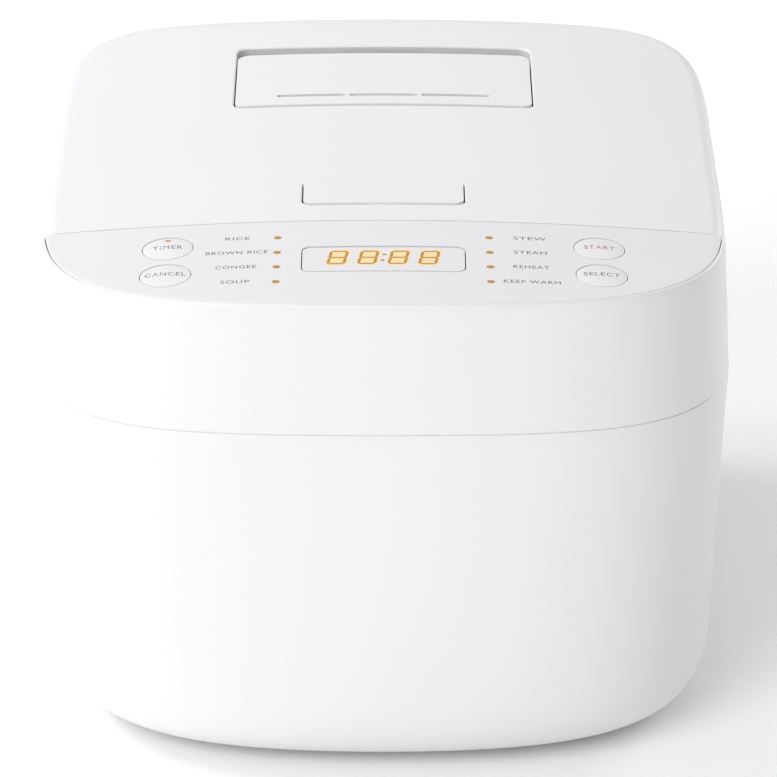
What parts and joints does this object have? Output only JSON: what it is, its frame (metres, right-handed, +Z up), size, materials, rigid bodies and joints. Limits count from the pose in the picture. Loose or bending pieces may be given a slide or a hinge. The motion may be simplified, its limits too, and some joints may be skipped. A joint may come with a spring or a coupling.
{
  "type": "rice cooker",
  "caption": "Rounded white rice cooker with a rear-hinged lid, lift-off steam vent cap, push-button lid release, front control panel with display and keys, and a coated inner pot.",
  "frame": {"origin": "middle of the bottom of the bounding box, on the surface that the feet stand on", "axes": "+Z up, -Y towards the front with the control panel, +X to the right seen from the front"},
  "size_m": [0.269, 0.3044, 0.2035],
  "materials": {
    "shell_plastic": "semi-gloss moulded white plastic",
    "panel_plastic": "satin moulded pale grey-white plastic",
    "key_plastic": "satin moulded pale plastic",
    "amber_lamp": "lit amber light guide",
    "dark_plastic": "fine textured black plastic",
    "circuit_board": "green solder mask",
    "steel": "plain stainless steel",
    "aluminium": "satin aluminium",
    "pot_coating": "dark non-stick coating on aluminium",
    "silicone": "translucent white silicone",
    "foot_rubber": "grey moulded rubber"
  },
  "bodies": {
    "root": {"lower_housing": "shell_plastic", "upper_housing": "shell_plastic", "rim_frame": "shell_plastic", "base_cover": "shell_plastic", "foot_1": "foot_rubber", "foot_2": "foot_rubber", "foot_3": "foot_rubber", "foot_4": "foot_rubber", "base_screw_1": "steel", "base_screw_2": "steel", "base_screw_3": "steel", "base_screw_4": "steel", "control_panel": "panel_plastic", "display_window": "panel_plastic", "display_module": "dark_plastic", "panel_board": "circuit_board", "indicator_light_1": "amber_lamp", "indicator_light_2": "amber_lamp", "indicator_light_3": "amber_lamp", "indicator_light_4": "amber_lamp", "indicator_light_5": "amber_lamp", "indicator_light_6": "amber_lamp", "indicator_light_7": "amber_lamp", "indicator_light_8": "amber_lamp", "inner_pot": "pot_coating", "heat_shield": "steel", "heating_plate": "aluminium", "sensor_spring": "steel", "sensor_seat": "steel", "thermal_fuse": "aluminium", "power_board": "circuit_board", "inlet_pin_1": "steel", "inlet_pin_2": "steel", "inlet_pin_3": "steel", "power_inlet": "dark_plastic", "hinge_bracket_left": "shell_plastic", "hinge_bracket_right": "shell_plastic", "hinge_shaft": "steel", "hinge_spring": "steel", "latch_keeper": "steel"},
    "lid": {"lid_cover": "shell_plastic", "lid_frame": "shell_plastic", "lid_hinge_barrel": "shell_plastic", "inner_lid_plate": "aluminium", "lid_gasket": "silicone", "steam_sleeve": "silicone", "lid_sensor": "steel", "latch_pin": "steel"},
    "steam_vent": {"steam_cap": "shell_plastic", "steam_valve": "shell_plastic"},
    "lid_release": {"release_button": "shell_plastic"},
    "latch": {"latch_hook": "dark_plastic"},
    "timer_key": {"timer_button": "key_plastic", "timer_light": "amber_lamp"},
    "cancel_key": {"cancel_button": "key_plastic"},
    "start_key": {"start_button": "key_plastic"},
    "select_key": {"select_button": "key_plastic"},
    "pot_sensor": {"thermostat_cap": "aluminium"}
  },
  "joints": [
    {"name": "lid_hinge", "type": "hinge", "parent": "root", "child": "lid", "pos_m": [0, 0.1452, 0.16775], "axis": [-1, 0, 0], "range_deg": [0, 88]},
    {"name": "steam_cap_lift", "type": "slide", "parent": "lid", "child": "steam_vent", "axis": [0, 0, 1], "range_m": [0, 0.03]},
    {"name": "release_press", "type": "hinge", "parent": "lid", "child": "lid_release", "pos_m": [0, -0.03576, 0.201], "axis": [1, 0, 0], "range_deg": [0, 3.5], "stiffness_Nm_per_rad": 1.5},
    {"name": "latch_swing", "type": "hinge", "parent": "lid", "child": "latch", "pos_m": [0, -0.04886, 0.18], "axis": [1, 0, 0], "range_deg": [0, 6]},
    {"name": "timer_press", "type": "slide", "parent": "root", "child": "timer_key", "axis": [0, 0, -1], "range_m": [0, 0.0008], "stiffness_N_per_m": 900},
    {"name": "cancel_press", "type": "slide", "parent": "root", "child": "cancel_key", "axis": [0, 0, -1], "range_m": [0, 0.0008], "stiffness_N_per_m": 900},
    {"name": "start_press", "type": "slide", "parent": "root", "child": "start_key", "axis": [0, 0, -1], "range_m": [0, 0.0008], "stiffness_N_per_m": 900},
    {"name": "select_press", "type": "slide", "parent": "root", "child": "select_key", "axis": [0, 0, -1], "range_m": [0, 0.0008], "stiffness_N_per_m": 900},
    {"name": "sensor_press", "type": "slide", "parent": "root", "child": "pot_sensor", "axis": [0, 0, -1], "range_m": [0, 0.002], "stiffness_N_per_m": 900, "deforming": ["sensor_spring"]}
  ],
  "couplings": [
    {"joint": "latch_swing", "follows": "release_press", "ratio": 1.7}
  ]
}
